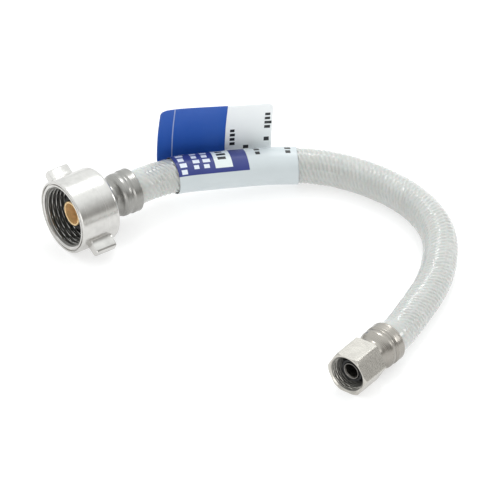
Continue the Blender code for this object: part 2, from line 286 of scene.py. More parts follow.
def smooth_curve(points, first_slope, last_slope, per_span=40):
    """A cubic spline through the points, with the given directions at its two ends, sampled finely."""
    knots = np.concatenate([[0.0], np.cumsum(np.linalg.norm(np.diff(points, axis=0), axis=1))])
    span = np.diff(knots)[:, None]
    rise = np.diff(points, axis=0) / span
    count = len(points)
    system = np.eye(count)
    known = np.empty_like(points)
    known[0], known[-1] = first_slope, last_slope
    for i in range(1, count - 1):
        before, after = span[i - 1, 0], span[i, 0]
        system[i, i - 1 : i + 2] = after, 2 * (before + after), before
        known[i] = 3 * (after * rise[i - 1] + before * rise[i])
    slopes = np.linalg.solve(system, known)
    t = np.linspace(0.0, 1.0, per_span, endpoint=False)[:, None]
    curve = []
    for i in range(count - 1):
        a = points[i] * (1 + 2 * t) * (1 - t) ** 2 + slopes[i] * span[i] * t * (1 - t) ** 2
        b = points[i + 1] * t * t * (3 - 2 * t) + slopes[i + 1] * span[i] * t * t * (t - 1)
        curve.append(a + b)
    return np.vstack([*curve, points[-1:]])


class Route:
    """The hose's centreline, measured from its start inside the ballcock collar."""

    def __init__(self):
        def on(mouth, along, distance):
            return tuple(mouth + along * distance)

        first = (BALLCOCK_HOSE_START, BALLCOCK_HOSE_MIDDLE, BALLCOCK_COLLAR_END)
        last = (STOP_COLLAR_END, STOP_HOSE_MIDDLE, STOP_HOSE_START)
        start = [on(BALLCOCK_MOUTH, BALLCOCK_ALONG, distance) for distance in first]
        end = [on(STOP_MOUTH, STOP_ALONG, distance) for distance in last]
        points = np.array(start + FREE_ROUTE + end)
        self.curve = smooth_curve(points, BALLCOCK_ALONG, -STOP_ALONG)
        steps = np.linalg.norm(np.diff(self.curve, axis=0), axis=1)
        self.reach = np.concatenate([[0.0], np.cumsum(steps)])
        self.length = self.reach[-1]

    def at(self, distance):
        return np.stack([np.interp(distance, self.reach, self.curve[:, k]) for k in range(3)], axis=-1)

    def axes(self, distance):
        """(centre, side, up) at each distance. Side is level, to the left of the way along the hose."""
        centre = self.at(distance)
        heading = self.at(distance + HEADING_STEP) - self.at(distance - HEADING_STEP)
        heading /= np.linalg.norm(heading, axis=-1)[..., None]
        side = np.stack([-heading[..., 1], heading[..., 0], np.zeros(heading.shape[:-1])], axis=-1)
        side /= np.linalg.norm(side, axis=-1)[..., None]
        return centre, side, np.cross(heading, side)


# ---------------------------------------------------------------- meshes


def shade(mesh, sharp):
    """Shades a mesh smooth, apart from its edges over a sharp angle in degrees."""
    mesh.shade_smooth()
    mesh.set_sharp_from_angle(angle=math.radians(sharp))


def piece(name, points, faces, finish, sharp=30.0):
    """An object from points in millimetres in the row frame, shaded smooth up to a sharp angle."""
    mesh = bpy.data.meshes.new(name)
    mesh.from_pydata((np.asarray(points) * MM).tolist(), [], faces)
    mesh.update()
    obj = bpy.data.objects.new(name, mesh)
    bpy.context.scene.collection.objects.link(obj)
    mesh.materials.append(finish)
    shade(mesh, sharp)
    return obj


def grid_faces(rows, columns, close_rows=False, close_columns=False):
    """Quads over a grid of points numbered row by row."""
    faces = []
    for i in range(rows if close_rows else rows - 1):
        for j in range(columns if close_columns else columns - 1):
            a, b = i * columns, (i + 1) % rows * columns
            k = (j + 1) % columns
            faces.append((a + j, a + k, b + k, b + j))
    return faces


def transformed(matrix, points):
    """The points after a 4 by 4 matrix, as an array of rows."""
    points = np.asarray(points).reshape(-1, 3)
    m = np.array(matrix)
    return points @ m[:3, :3].T + m[:3, 3]


def rounded(corners, arc_steps=5):
    """A closed outline from (radius, distance, rounding) corners, with a curve at each rounded one."""
    outline = []
    for i, (x, y, rounding) in enumerate(corners):
        here = np.array([x, y])
        if rounding == 0:
            outline.append(here)
            continue
        before, after = (np.array(corners[(i + k) % len(corners)][:2]) for k in (-1, 1))
        into = (before - here) / np.linalg.norm(before - here)
        out = (after - here) / np.linalg.norm(after - here)
        for t in np.linspace(0.0, 1.0, arc_steps):
            outline.append(here + rounding * (into * (1 - t) ** 2 + out * t**2))
    return np.array(outline)


def even(outline, longest, wall=None, fine=None):
    """The closed outline with extra points, so that no step is over longest, or over fine along the
    straight wall at that radius."""
    filled = []
    for a, b in zip(outline, np.roll(outline, -1, axis=0)):
        on_wall = wall is not None and abs(a[0] - wall) < SAME and abs(b[0] - wall) < SAME
        count = max(1, math.ceil(np.linalg.norm(b - a) / (fine if on_wall else longest)))
        filled += [a + (b - a) * k / count for k in range(count)]
    return np.array(filled)


def turned(name, place, outline, finish, steps=96, shift=None, sharp=30.0):
    """A ring turned about a fitting's axis. shift(angle, radius, distance) moves its radius."""
    angle = np.linspace(0.0, 2 * math.pi, steps, endpoint=False)[None, :]
    radius, distance = outline[:, :1], outline[:, 1:]
    if shift is not None:
        radius = radius + shift(angle, radius, distance)
    radius = np.broadcast_to(radius, (len(outline), steps))
    distance = np.broadcast_to(distance, radius.shape)
    points = np.stack([radius * np.cos(angle), radius * np.sin(angle), distance], axis=-1)
    faces = [face[::-1] for face in grid_faces(len(outline), steps, True, True)]
    return piece(name, transformed(place, points), faces, finish, sharp)


def boolean(obj, other, operation):
    """Joins with another object, or keeps only what lies in it. The other object is then removed."""
    change = obj.modifiers.new("boolean", "BOOLEAN")
    change.operation = operation
    change.solver = "EXACT"
    change.object = other
    mesh = bpy.data.meshes.new_from_object(obj.evaluated_get(bpy.context.evaluated_depsgraph_get()))
    obj.modifiers.clear()
    obj.data = mesh
    bpy.data.objects.remove(other, do_unlink=True)


def thread_shift(minor, depth, pitch, mouth, last):
    """How far the bore's wall moves out for a right-hand internal thread behind a flared mouth."""

    def shift(angle, radius, distance):
        turn = (distance / pitch - angle / (2 * math.pi)) % 1.0
        groove = np.clip(THREAD_ROOT - THREAD_FLANK * np.abs(turn - 0.5), 0.0, 1.0)
        groove = groove * np.clip((last - distance) / pitch, 0.0, 1.0)
        flare = np.clip(mouth - minor - distance * THREAD_FLARE, 0.0, None)
        return np.where(np.abs(radius - minor) < SAME, np.maximum(groove * depth, flare), 0.0)

    return shift


# ---------------------------------------------------------------- materials


def node(tree, kind, inputs=None, **settings):
    """A shader node. Each input is a plain value, or another node's output to link to it."""
    made = tree.nodes.new(kind)
    for key, value in settings.items():
        setattr(made, key, value)
    for key, value in (inputs or {}).items():
        if isinstance(value, bpy.types.NodeSocket):
            tree.links.new(value, made.inputs[key])
        else:
            made.inputs[key].default_value = value
    return made


def math_node(tree, operation, first, second=0.0):
    return node(tree, "ShaderNodeMath", {0: first, 1: second}, operation=operation).outputs[0]


def smooth_step(tree, value, low, high):
    """0 below low, 1 above high, smooth between."""
    made = node(tree, "ShaderNodeMapRange", {"Value": value, "From Min": low, "From Max": high})
    made.interpolation_type = "SMOOTHSTEP"
    return made.outputs["Result"]


def mix_colour(tree, share, first, second):
    """The first colour where share is 0, the second where it is 1."""
    made = node(tree, "ShaderNodeMix", {"Factor": share}, data_type="RGBA")
    for key, value in ((6, first), (7, second)):
        if isinstance(value, bpy.types.NodeSocket):
            tree.links.new(value, made.inputs[key])
        else:
            made.inputs[key].default_value = (*value, 1.0)
    return made.outputs[2]


def new_material(name, **shader_values):
    """(material, node tree, Principled shader), with plain values set on the shader's own sockets."""
    made = bpy.data.materials.new(name)
    made.use_nodes = True
    shader = made.node_tree.nodes["Principled BSDF"]
    for key, value in shader_values.items():
        shader.inputs[key.replace("_", " ").title()].default_value = value
    return made, made.node_tree, shader


def object_point(tree):
    """The shaded point in the piece's own coordinates, in metres."""
    return node(tree, "ShaderNodeTexCoord").outputs["Object"]


def local_point(tree, place):
    """(radius, distance along, whole vector) in a fitting's local frame, in millimetres."""
    position = object_point(tree)
    location, rotation, _ = place.decompose()
    mapping = node(tree, "ShaderNodeMapping", {"Vector": position}, vector_type="TEXTURE")
    mapping.inputs["Location"].default_value = location * MM
    mapping.inputs["Rotation"].default_value = rotation.to_euler()
    mapping.inputs["Scale"].default_value = (MM, MM, MM)
    parts = node(tree, "ShaderNodeSeparateXYZ", {"Vector": mapping.outputs[0]})
    x, y, z = parts.outputs
    squares = [math_node(tree, "MULTIPLY", part, part) for part in (x, y)]
    radius = math_node(tree, "SQRT", math_node(tree, "ADD", *squares))
    return radius, z, mapping.outputs[0]


def noise(tree, vector, scale, detail=3.0, roughness=0.55):
    """Cloudy noise from 0 to 1, with about scale lumps to a unit of the vector."""
    settings = {"Vector": vector, "Scale": scale, "Detail": detail, "Roughness": roughness}
    return node(tree, "ShaderNodeTexNoise", settings).outputs["Fac"]


def bump(tree, height, strength, distance_mm, normal=None):
    """The surface's normal, roughened by a height of 0 to 1, on top of another normal if one is given."""
    settings = {"Height": height, "Strength": strength, "Distance": distance_mm * MM}
    made = node(tree, "ShaderNodeBump", settings)
    if normal is not None:
        tree.links.new(normal, made.inputs["Normal"])
    return made.outputs["Normal"]


def turned_metal(name, place, colour, roughness, thread=None, dents=0.0, metallic=1.0, tarnish=None):
    """Plated or bare metal with fine turning rings, stains of tarnish, and cast dents of that strength.

    thread = (crest radius, root radius, end): between these radii, and past the end, the bore's colour
    is darkened as painted shade, a little less at its roots.
    """
    made, tree, shader = new_material(name, metallic=metallic)
    radius, along, vector = local_point(tree, place)
    ringed = node(tree, "ShaderNodeCombineXYZ", {"X": radius, "Y": along, "Z": 0.0}).outputs[0]
    rings = noise(tree, ringed, 2.6, 4.0, 0.7)
    stains = noise(tree, vector, 0.5 if tarnish else 0.22, 4.0, 0.6)
    tarnish = tarnish or tuple(c * 0.88 for c in colour)
    colours = mix_colour(tree, smooth_step(tree, stains, 0.35, 0.75), colour, tarnish)
    spread = {"Value": rings, "From Min": 0.3, "From Max": 0.7}
    spread.update({"To Min": roughness * 0.75, "To Max": roughness * 1.3})
    rough = node(tree, "ShaderNodeMapRange", spread).outputs[0]
    if thread:
        crest, root, end = thread
        # Painted shade: the colour is darkened in the thread's grooves and in the bore past the end, a
        # little less at the roots.
        groove = smooth_step(tree, radius, crest + 0.05, crest + 0.15)
        deep_painted_shade = smooth_step(tree, along, end - 0.2, end + 0.2)
        inside = math_node(tree, "SUBTRACT", 1.0, smooth_step(tree, radius, root + 0.1, root + 0.2))
        root_painted_light = math_node(tree, "MULTIPLY", smooth_step(tree, radius, root - 0.2, root - 0.05), 0.6)
        groove = math_node(tree, "SUBTRACT", groove, root_painted_light)
        behind_lip = smooth_step(tree, along, 0.25, 0.5)
        painted_shade = math_node(tree, "MULTIPLY", math_node(tree, "MAXIMUM", groove, deep_painted_shade), inside)
        painted_shade = math_node(tree, "MULTIPLY", painted_shade, behind_lip)
        colours = mix_colour(tree, painted_shade, colours, THREAD_PAINTED_SHADE)
        rough = math_node(tree, "ADD", rough, math_node(tree, "MULTIPLY", painted_shade, 0.2))
    tree.links.new(colours, shader.inputs["Base Color"])
    tree.links.new(rough, shader.inputs["Roughness"])
    normal = bump(tree, rings, 0.25, 0.03)
    if dents:
        normal = bump(tree, noise(tree, vector, 1.1, 3.0, 0.6), dents, 0.12, normal)
    tree.links.new(normal, shader.inputs["Normal"])
    return made


def rubber():
    made, tree, shader = new_material("black_rubber", roughness=0.62, base_color=(*RUBBER_BLACK, 1.0))
    position = object_point(tree)
    tree.links.new(bump(tree, noise(tree, position, 2500.0, 4.0), 0.3, 0.05), shader.inputs["Normal"])
    return made


def nylon():
    made, tree, shader = new_material("white_nylon", roughness=0.45, subsurface_weight=0.1)
    shader.inputs["Subsurface Scale"].default_value = 0.001
    position = object_point(tree)
    colours = mix_colour(tree, noise(tree, position, 400.0), *NYLON_WHITE)
    tree.links.new(colours, shader.inputs["Base Color"])
    return made


def vinyl_jacket():
    """Glossy white vinyl: slightly green-grey in its grooves, with faint clouding and fine yarn marks."""
    gloss = {"coat_weight": 0.9, "coat_roughness": 0.07}
    made, tree, shader = new_material("white_vinyl", roughness=0.3, **gloss)
    shader.inputs["Subsurface Weight"].default_value = 0.12
    shader.inputs["Subsurface Scale"].default_value = 0.0015
    position = object_point(tree)
    ridge = node(tree, "ShaderNodeAttribute", attribute_name="ridge").outputs["Fac"]
    clouds = noise(tree, position, 90.0, 4.0, 0.6)
    base = mix_colour(tree, smooth_step(tree, clouds, 0.3, 0.7), *JACKET_WHITE)
    colours = mix_colour(tree, ridge, JACKET_GROOVE, base)
    tree.links.new(colours, shader.inputs["Base Color"])
    fine = noise(tree, position, 1800.0, 3.0, 0.6)
    tree.links.new(bump(tree, fine, 0.12, 0.05), shader.inputs["Normal"])
    return made


def braid_yarn():
    made, tree, shader = new_material("braid_yarn", roughness=0.55, sheen_weight=0.3)
    position = object_point(tree)
    fibres = noise(tree, position, 1500.0, 2.0)
    tree.links.new(mix_colour(tree, fibres, *YARN_WHITE), shader.inputs["Base Color"])
    tree.links.new(bump(tree, fibres, 0.4, 0.08), shader.inputs["Normal"])
    return made


def tube_vinyl():
    made, tree, shader = new_material("tube_vinyl", roughness=0.3)
    position = object_point(tree)
    clouds = noise(tree, position, 200.0)
    tree.links.new(mix_colour(tree, clouds, *TUBE_WHITE), shader.inputs["Base Color"])
    return made


# ---------------------------------------------------------------- fittings


def finish_piece(obj, body, slot, *nodes):
    """Fixes a piece to its body and hides the CAD nodes that it stands for. Its slot, the finish, is not
    used.
    """
    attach(obj, body)
    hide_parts(*nodes)
    return obj


def wing_block(angle, nickel):
    """One wing of the ballcock nut: a bevelled block that flares where it meets the wall."""
    half = WING_THICKNESS / 2
    side = [(13.0, half + 1.5), (14.1, half + 0.7), (14.9, half + 0.15), (15.9, half)]
    tip = [(WING_TIP - 0.8, half - 0.05), (WING_TIP - 0.2, half - 0.4), (WING_TIP, half - 0.9)]
    outline = np.array(side + tip)
    outline = np.vstack([outline, (outline * [1, -1])[::-1]])
    start, end = WING_START, WING_START + WING_LENGTH
    levels = [(start, 0.5), (start + 0.12, 0.2), (start + 0.45, 0.0)]
    levels += [(end - 0.45, 0.0), (end - 0.12, 0.2), (end, 0.5)]
    rings = []
    for distance, inset in levels:
        ring = outline.copy()
        ring[:, 0] -= inset * np.clip((ring[:, 0] - WING_FOOT) / 2.0, 0.0, 1.0)
        ring[:, 1] -= np.sign(ring[:, 1]) * inset * 0.7
        rings.append(np.column_stack([ring, np.full(len(ring), distance)]))
    points = np.vstack(rings)
    count = len(outline)
    faces = grid_faces(len(levels), count, False, True)
    faces += [tuple(range(count))[::-1], tuple(range((len(levels) - 1) * count, len(levels) * count))]
    spin = Matrix.Rotation(math.radians(angle), 4, "Z")
    block = piece("wing", transformed(BALLCOCK @ spin, points), faces, nickel)
    shape = bmesh.new()
    shape.from_mesh(block.data)
    bmesh.ops.recalc_face_normals(shape, faces=shape.faces)
    shape.to_mesh(block.data)
    shape.free()
    return block


def ballcock_nut(nickel):
    """The round nut, with a shallow groove round its mouth's rim and two wings."""
    corners = [
        (13.0, NUT_LENGTH, 0.5),
        (NUT_RADIUS, NUT_LENGTH - 0.25, 1.3),
        (NUT_RADIUS, 0.4, 0.2),
        (14.1, 0.0, 0.12),
        (13.5, 0.0, 0.08),
        (13.35, 0.7, 0.08),
        (13.05, 0.7, 0.08),
        (12.9, 0.0, 0.1),
        (NUT_MOUTH, 0.0, 0.0),
        (NUT_MINOR, 0.02, 0.0),
        (NUT_MINOR, 14.9, 0.0),
        (6.5, 14.9, 0.2),
        (6.5, NUT_LENGTH, 0.4),
    ]
    fine = even(rounded(corners), 1.5, NUT_MINOR, 0.12)
    shift = thread_shift(NUT_MINOR, NUT_THREAD_DEPTH, NUT_PITCH, NUT_MOUTH, NUT_THREAD_END)
    nut = turned("ballcock_nut_body", BALLCOCK, fine, nickel, 144, shift, NUT_SHARP)
    for angle in (WING_ANGLE, WING_ANGLE + 180.0):
        boolean(nut, wing_block(angle, nickel), "UNION")
    shade(nut.data, NUT_SHARP)
    return finish_piece(nut, "ballcock_swivel", "nickel", "ballcock_nut")


def hexagon(across_flats, length):
    """A prism with lightly rounded corners, one flat straight up and one straight down."""
    mesh = bpy.data.meshes.new("hexagon")
    shape = bmesh.new()
    corner = across_flats / 2 / math.cos(math.pi / 6)
    ends = {"radius1": corner, "radius2": corner, "depth": 2 * length}
    bmesh.ops.create_cone(shape, cap_ends=True, segments=6, **ends)
    uprights = [e for e in shape.edges if abs(e.verts[0].co.z - e.verts[1].co.z) > length]
    bmesh.ops.bevel(shape, geom=uprights, offset=HEX_EDGE, segments=3, affect="EDGES", profile=0.5)
    bmesh.ops.translate(shape, vec=(0.0, 0.0, length / 2), verts=shape.verts)
    bmesh.ops.transform(shape, matrix=Matrix.Scale(MM, 4) @ STOP, verts=shape.verts)
    shape.to_mesh(mesh)
    shape.free()
    made = bpy.data.objects.new("hexagon", mesh)
    bpy.context.scene.collection.objects.link(made)
    return made


def compression_nut(nickel):
    """The hex nut: a threaded ring chamfered at its mouth, kept to what lies inside the hexagon."""
    corners = [
        (8.5, HEX_LENGTH, 0.2),
        (9.5, HEX_LENGTH - 0.55, 0.1),
        (9.5, 1.25, 0.1),
        (8.35, 0.0, 0.25),
        (HEX_MOUTH, 0.0, 0.0),
        (HEX_MINOR, 0.02, 0.0),
        (HEX_MINOR, 11.3, 0.0),
        (4.9, 11.3, 0.2),
        (4.9, HEX_LENGTH, 0.3),
    ]
    fine = even(rounded(corners), 1.5, HEX_MINOR, 0.085)
    shift = thread_shift(HEX_MINOR, HEX_THREAD_DEPTH, HEX_PITCH, HEX_MOUTH, HEX_THREAD_END)
    nut = turned("compression_nut_body", STOP, fine, nickel, 120, shift, NUT_SHARP)
    boolean(nut, hexagon(HEX_ACROSS_FLATS, HEX_LENGTH), "INTERSECT")
    shade(nut.data, NUT_SHARP)
    return finish_piece(nut, "compression_swivel", "nickel", "compression_nut")


def barbs(tip, root):
    """The outer side of a barbed end, from its tip to its root."""
    points = [(BARB_FOOT - 0.2, tip, 0.0)]
    pitch = (tip - root) / (BARB_COUNT + 0.5)
    for number in range(1, BARB_COUNT + 1):
        edge = tip - number * pitch
        points += [(BARB_RADIUS, edge, 0.0), (BARB_FOOT, edge - 0.1, 0.0)]
    return points + [(BARB_FOOT, root, 0.0)]


def ballcock_inside(brass, black, white):
    """The brass tail with its flange and barbs, the cone washer in front, the slip ring behind."""
    tail = barbs(31.0, 24.5) + [
        (5.2, 24.5, 0.2),
        (5.2, 13.6, 0.2),
        (10.0, 13.6, 0.2),
        (10.0, 12.2, 0.2),
        (4.8, 12.2, 0.2),
        (4.8, 4.1, 0.25),
        (4.1, 4.1, 0.2),
        (4.1, 18.0, 0.5),
        (2.7, 20.0, 0.5),
        (2.7, 31.0, 0.0),
    ]
    tube = turned("ballcock_tail_body", BALLCOCK, even(rounded(tail), 1.2), brass, 72)
    finish_piece(tube, "root", "brass", "ballcock_tail")
    washer = [(10.8, 11.9, 0.2), (10.8, 9.8, 0.6), (6.6, 5.4, 0.5), (5.1, 5.4, 0.2), (5.1, 11.9, 0.2)]
    cone = turned("cone_washer_body", BALLCOCK, even(rounded(washer), 1.0), black, 72)
    finish_piece(cone, "root", "rubber", "cone_washer")
    ring = [(9.6, 14.6, 0.15), (9.6, 13.9, 0.15), (5.6, 13.9, 0.15), (5.6, 14.6, 0.15)]
    slip = turned("ballcock_slip_ring_body", BALLCOCK, rounded(ring), white, 72)
    finish_piece(slip, "ballcock_ring", "nylon", "ballcock_slip_ring")


def compression_inside(plated, black, white):
    """The plated stem with its head and barbs, the cone gasket in front, the slip ring behind."""
    stem = barbs(25.2, 19.3) + [
        (4.3, 19.3, 0.2),
        (4.3, 9.8, 0.2),
        (6.3, 9.8, 0.2),
        (6.3, 8.3, 0.2),
        (3.3, 8.3, 0.0),
        (3.3, 2.9, 0.1),
        (3.05, 2.9, 0.1),
        (2.7, 3.6, 0.1),
        (2.7, 25.2, 0.0),
    ]
    tube = turned("compression_stem_body", STOP, even(rounded(stem), 1.2), plated, 64)
    finish_piece(tube, "root", "nickel", "compression_stem")
    gasket = [(6.3, 8.0, 0.2), (6.3, 6.8, 0.5), (4.6, 3.3, 0.3), (3.6, 3.3, 0.1), (3.6, 8.0, 0.2)]
    cone = turned("compression_gasket_body", STOP, even(rounded(gasket), 1.0), black, 64)
    finish_piece(cone, "root", "rubber", "compression_gasket")
    ring = [(6.1, 11.0, 0.15), (6.1, 10.1, 0.15), (4.7, 10.1, 0.15), (4.7, 11.0, 0.15)]
    slip = turned("compression_slip_ring_body", STOP, rounded(ring), white, 64)
    finish_piece(slip, "compression_ring", "nylon", "compression_slip_ring")


def collar(name, place, corners, band, finish, node_name):
    """A crimped cup, with a row of shallow jaw marks pressed into its band."""
    low, high = band

    def jaws(angle, radius, distance):
        inside = np.clip(np.minimum(distance - low, high - distance) / JAW_EDGE, 0.0, 1.0)
        marks = -JAW_DEPTH * inside * np.cos(JAWS / 2 * angle) ** 2
        return np.where(radius > COLLAR_BORE + 0.2, marks, 0.0)

    ring = turned(name, place, even(rounded(corners, 7), 0.4), finish, 120, jaws, 40.0)
    return finish_piece(ring, "root", "collar_steel", node_name)


def ballcock_collar(steel):
    corners = [
        (8.55, BALLCOCK_COLLAR_END, 0.35),
        (8.6, 28.5, 0.35),
        (7.95, 27.6, 0.45),
        (8.6, 25.4, 1.3),
        (7.95, 23.9, 0.9),
        (6.9, 22.9, 0.9),
        (6.05, 21.6, 0.4),
        (6.05, 17.6, 0.25),
        (5.5, 17.6, 0.15),
        (5.5, 24.6, 0.0),
        (COLLAR_BORE, 24.6, 0.0),
        (COLLAR_BORE, BALLCOCK_COLLAR_END, 0.15),
    ]
    return collar("ballcock_collar_cup", BALLCOCK, corners, (28.4, 31.2), steel, "ballcock_collar")


def compression_collar(steel):
    corners = [
        (8.05, STOP_COLLAR_END, 0.3),
        (8.1, 22.5, 0.35),
        (7.5, 21.8, 0.4),
        (8.05, 19.7, 0.8),
        (7.6, 18.3, 0.8),
        (6.1, 16.4, 0.6),
        (6.1, STOP_COLLAR_FRONT, 0.3),
        (4.6, STOP_COLLAR_FRONT, 0.15),
        (4.6, 19.4, 0.0),
        (COLLAR_BORE, 19.4, 0.0),
        (COLLAR_BORE, STOP_COLLAR_END, 0.15),
    ]
    return collar("compression_collar_cup", STOP, corners, (22.6, 25.9), steel, "compression_collar")


# ---------------------------------------------------------------- hose


def wander(angle, distance):
    """A slow, uneven wave over the hose, about -1 to 1, that keeps its ridges from looking machined."""
    waves = np.sin(3 * angle + 0.31 * distance) + np.sin(2 * angle - 0.83 * distance + 1.0)
    return (waves + np.sin(5 * angle + 1.9 * distance + 2.0) + np.sin(1.27 * distance)) / 4


def ridge_pattern(angle, distance):
    """How far each of the braid's two sets of yarns shows through the jacket, 0 to 1.

    The yarns of the second set come and go as they pass over and under the first.
    """
    slip = RIDGE_SLIP * wander(angle, distance)
    first = RIDGES * (angle / (2 * math.pi) - distance / RIDGE_LEAD) + slip
    second = RIDGES * (angle / (2 * math.pi) + distance / RIDGE_LEAD) - slip
    main = np.sqrt(0.5 + 0.5 * np.cos(2 * math.pi * first))
    cross = np.sqrt(0.5 + 0.5 * np.cos(2 * math.pi * second))
    over = 0.5 + 0.5 * np.sin(math.pi * (first - second))
    strength = 0.68 + 0.32 * wander(angle + 1.0, 0.6 * distance)
    return main * strength, cross * over


def swept(name, route, outer, inner, grid, finish, height=None):
    """A hollow tube along the route, of grid = (sides, outer rings, inner rings).

    height(angle, distance) adds to its outer radius.
    """
    sides, rings, inner_rings = grid
    angle = np.linspace(0.0, 2 * math.pi, sides, endpoint=False)[None, :, None]

    def surface(radius, count, relief):
        distance = np.linspace(0.0, route.length, count)
        centre, side, up = route.axes(distance)
        reach = radius + (relief(angle[..., 0], distance[:, None])[..., None] if relief else 0.0)
        around = np.cos(angle) * side[:, None] + np.sin(angle) * up[:, None]
        return centre[:, None] + reach * around

    shell = surface(outer, rings, height)
    bore = surface(inner, inner_rings, None)[::-1]
    points = np.vstack([shell.reshape(-1, 3), bore.reshape(-1, 3)])
    faces = grid_faces(rings + inner_rings, sides, True, True)
    return piece(name, points, faces, finish, 50.0)


def add_attribute(obj, name, values):
    """One number for each point of the mesh, which its material can read."""
    layer = obj.data.attributes.new(name, "FLOAT", "POINT")
    layer.data.foreach_set("value", np.asarray(values, np.float32))


def jacket(route, vinyl):
    """The outer skin, ridged where it is not inside a collar."""

    def height(angle, distance):
        main, cross = ridge_pattern(angle, distance)
        ends = np.clip(np.minimum(distance, route.length - distance) / SMOOTH_END - 1.0, 0.0, 1.0)
        return (RIDGE_HEIGHT * main + CROSS_HEIGHT * cross - RIDGE_HEIGHT) * ends - JACKET_INSET

    grid = (HOSE_SIDES, HOSE_RINGS, HOSE_BORE_RINGS)
    hose = swept("hose_jacket_skin", route, HOSE_RADIUS, JACKET_BORE, grid, vinyl, height)
    angle = np.linspace(0.0, 2 * math.pi, HOSE_SIDES, endpoint=False)[None, :]
    main, cross = ridge_pattern(angle, np.linspace(0.0, route.length, HOSE_RINGS)[:, None])
    ridge = np.clip(0.75 * main + 0.35 * cross, 0.0, 1.0)
    add_attribute(hose, "ridge", np.concatenate([ridge.ravel(), np.ones(HOSE_BORE_RINGS * HOSE_SIDES)]))
    return finish_piece(hose, "root", "jacket", "hose_jacket")


def braid(route, yarn):
    """Flat yarns that cross over and under each other between the tube and the jacket."""
    points, faces = [], []
    distance = np.linspace(0.3, route.length - 0.3, BRAID_RINGS)
    centre, side, up = route.axes(distance)
    lower = [(across, -rise) for across, rise in YARN_SECTION]
    for direction in (1, -1):
        for number in range(BRAID_STRANDS):
            angle = 2 * math.pi * (number / BRAID_STRANDS + direction * distance / BRAID_LEAD)
            phase = math.pi * (number + (direction < 0))
            crossing = np.cos(2 * math.pi * BRAID_STRANDS * distance / BRAID_LEAD + phase)
            middle = BRAID_RADIUS + BRAID_WEAVE * crossing
            first = sum(len(p) for p in points)
            corners = []
            for across, rise in lower + YARN_SECTION[::-1]:
                around = angle + across * YARN_HALF_WIDTH / BRAID_RADIUS
                reach = (middle + rise)[:, None]
                heading = np.cos(around)[:, None] * side + np.sin(around)[:, None] * up
                corners.append(centre + reach * heading)
            points.append(np.stack(corners, axis=1).reshape(-1, 3))
            ribbon = grid_faces(BRAID_RINGS, len(corners), False, True)
            faces += [tuple(first + i for i in face) for face in ribbon]
            last = first + len(corners) * (BRAID_RINGS - 1)
            faces.append(tuple(range(first, first + len(corners)))[::-1])
            faces.append(tuple(range(last, last + len(corners))))
    made = piece("hose_braid_yarns", np.vstack(points), faces, yarn, 50.0)
    return finish_piece(made, "root", "braid", "hose_braid")


def inner_tube(route, vinyl):
    made = swept("hose_inner_tube_wall", route, TUBE_RADIUS, TUBE_BORE, (48, 160, 160), vinyl)
    return finish_piece(made, "root", "inner_tube", "hose_inner_tube")


# ---------------------------------------------------------------- label


def label_section():
    """(away, up, share of the flag's shift, distance from the sheet's near edge) along the sheet."""
    knots = np.array(FLAG_SECTION)
    leave = knots[-1] - knots[-2]
    start = knots[1] - knots[0]
    flag = smooth_curve(knots, start / np.linalg.norm(start), leave / np.linalg.norm(leave), 12)
    run = np.gradient(flag, axis=0)
    side = np.stack([run[:, 1], -run[:, 0]], axis=1) / np.linalg.norm(run, axis=1)[:, None]
    near = flag + side * LABEL_LAYER_GAP / 2
    far = (flag - side * LABEL_LAYER_GAP / 2)[::-1]
    turns = np.linspace(*WRAP_TURN, 100)
    from_root = np.minimum(turns - WRAP_TURN[0], WRAP_TURN[1] - turns)
    share = 1.0 - np.clip(from_root / WRAP_BLEND, 0.0, 1.0)
    share = share * share * (3 - 2 * share)
    ring = LABEL_RADIUS * np.stack([np.cos(np.radians(turns)), np.sin(np.radians(turns))], axis=1)
    points = np.vstack([near, ring, far])
    shares = np.concatenate([np.ones(len(near)), share, np.ones(len(far))])
    run = np.concatenate([[0.0], np.cumsum(np.linalg.norm(np.diff(points, axis=0), axis=1))])
    return points, shares, run


def label(route, sheet):
    """The whole sheet. The near end of its flag leans back and stands up a little more than the rest."""
    points, shares, run = label_section()
    total = run[-1]
    rows, marks = [], []
    for (away, up), share, distance in zip(points, shares, run):
        low, high = (f * share + w * (1.0 - share) for f, w in zip(LABEL_FLAG, LABEL_WRAP))
        edge = min(distance, total - distance)
        inset = 0.0
        if edge < FLAG_CORNER:
            inset = FLAG_CORNER - math.sqrt(max(FLAG_CORNER**2 - (FLAG_CORNER - edge) ** 2, 0.0))
        stations = np.linspace(low + inset, high - inset, LABEL_COLUMNS)
        centre, side, _ = route.axes(stations)
        twist = np.clip(1.0 - (stations - low) / FLAG_TWIST, 0.0, 1.0)[:, None]
        twist = twist * share * max(up, 0.0) / FLAG_SECTION[0][1]
        raised = (up + FLAG_LIFT * twist) * np.array([0.0, 0.0, 1.0])
        rows.append(centre + side * (away + FLAG_LEAN * twist) + raised)
        marks.append(np.column_stack([stations - low, np.full(LABEL_COLUMNS, distance)]))
    made = piece("flag_label", np.vstack(rows), grid_faces(len(rows), LABEL_COLUMNS), sheet, 60.0)
    uv = made.data.uv_layers.new(name="sheet")
    places = np.vstack(marks)
    corner = np.empty(len(made.data.loops), np.int32)
    made.data.loops.foreach_get("vertex_index", corner)
    uv.data.foreach_set("uv", places[corner].astype(np.float32).ravel())
    thick = made.modifiers.new("thickness", "SOLIDIFY")
    thick.thickness = LABEL_THICKNESS * MM
    thick.offset = 0.0
    return finish_piece(made, "root", "label", "label")


def between(tree, value, low, high, soft=0.06):
    """1 between two values of a coordinate, 0 outside."""
    above = smooth_step(tree, value, low - soft, low + soft)
    below = smooth_step(tree, value, high - soft, high + soft)
    return math_node(tree, "SUBTRACT", above, below)


def box_mask(tree, along, down, box):
    """1 inside a box of the sheet, (along from, to, down from, to)."""
    return math_node(tree, "MULTIPLY", between(tree, along, *box[:2]), between(tree, down, *box[2:]))


